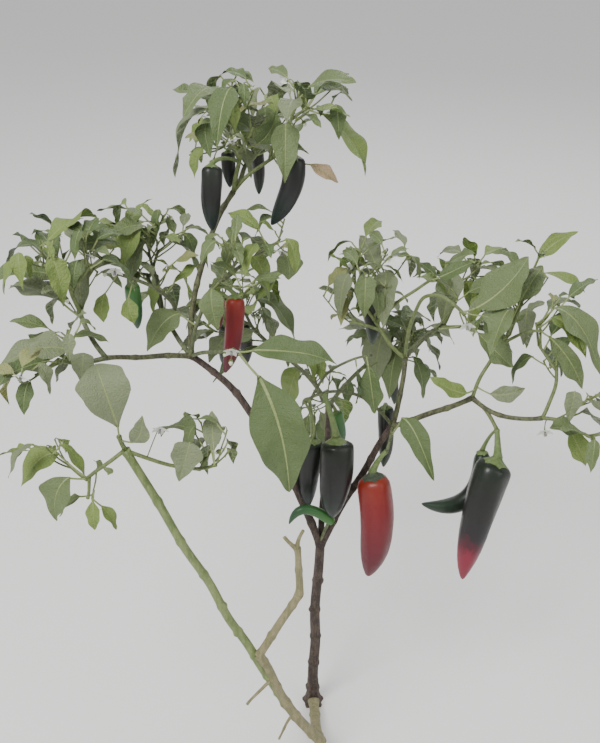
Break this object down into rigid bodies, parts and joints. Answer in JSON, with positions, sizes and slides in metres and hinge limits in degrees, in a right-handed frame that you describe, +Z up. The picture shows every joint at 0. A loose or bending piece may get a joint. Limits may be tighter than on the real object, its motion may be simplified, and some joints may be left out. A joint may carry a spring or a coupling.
{
  "type": "chilli pepper plant",
  "caption": "Fruiting chilli pepper plant: a woody trunk forking into crooked boughs, with drooping leaves, hanging pods and pale side stems.",
  "frame": {"origin": "centre of the flat cut under the trunk, at ground level", "axes": "+Z up the trunk; +X to the right and -Y towards the viewer, seen from the front of the picture"},
  "size_m": [0.627, 0.3985, 0.7645],
  "materials": {
    "dark_bark": "rough",
    "olive_bark": "rough",
    "green_stem": "satin",
    "foliage": "matte"
  },
  "bodies": {
    "root": {"trunk": "dark_bark", "left_bough": "dark_bark", "right_bough": "dark_bark", "back_bough": "dark_bark", "left_side_limb": "olive_bark", "left_rising_limb": "olive_bark", "right_side_limb": "olive_bark", "right_outer_limb": "olive_bark", "right_rising_limb": "olive_bark", "front_stem_foot": "green_stem", "front_stem_rise": "green_stem", "front_green_stem": "green_stem", "front_pale_stem": "green_stem", "front_pale_upper_stem": "green_stem", "front_pale_stem_tip": "green_stem", "fork_spur": "foliage", "inner_spur": "foliage", "right_fork_spur": "foliage", "left_fork_spur": "foliage", "left_red_spur": "foliage", "left_back_mass": "foliage", "left_outer_mass": "foliage", "left_outer_upper_mass": "foliage", "top_left_mass": "foliage", "top_right_mass": "foliage", "top_back_mass": "foliage", "right_front_mass": "foliage", "right_upper_mass": "foliage", "right_outer_mass": "foliage", "right_outer_upper_mass": "foliage", "centre_top_mass": "foliage", "right_arch_mass": "foliage", "right_back_mass": "foliage", "front_left_outer_mass": "foliage", "front_left_upper_mass": "foliage", "front_left_inner_mass": "foliage", "back_left_mass": "foliage", "back_right_mass": "foliage", "back_low_mass": "foliage"}
  },
  "joints": []
}
